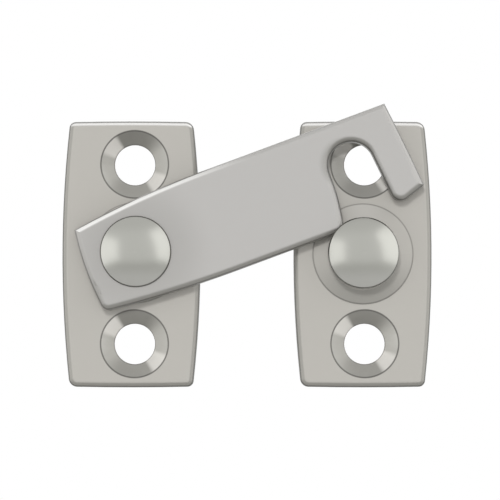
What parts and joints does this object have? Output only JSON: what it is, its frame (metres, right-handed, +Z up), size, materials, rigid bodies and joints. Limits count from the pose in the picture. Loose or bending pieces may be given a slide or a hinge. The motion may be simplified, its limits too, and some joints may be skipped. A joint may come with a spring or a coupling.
{
  "type": "shutter latch",
  "caption": "Shutter latch: a flared hook-ended bar swings on a headed rivet in its screw plate and drops over the headed knob of a matching plate. Satin nickel.",
  "frame": {"origin": "midway between the two screw holes of the pivot plate, on the plane of the plates' back faces", "axes": "+Z up along the plates, +X from the pivot plate towards the strike plate, -Y forwards out of the shutters"},
  "size_m": [0.0407, 0.0071, 0.031],
  "materials": {
    "cast_nickel": "satin nickel plate on a smooth casting",
    "bar_nickel": "satin nickel plate with softly rolled edges",
    "turned_nickel": "satin nickel plate on a turned head"
  },
  "bodies": {
    "base": {"pivot_plate": "cast_nickel", "pivot_rivet": "turned_nickel", "strike_plate": "cast_nickel", "strike_knob": "turned_nickel"},
    "bar": {"latch_bar": "bar_nickel"}
  },
  "joints": [
    {"name": "bar_swing", "type": "hinge", "parent": "base", "child": "bar", "pos_m": [0.0002, -0.00365, 0.00014], "axis": [0, -1, 0], "range_deg": [-23.25, 321.3]}
  ]
}
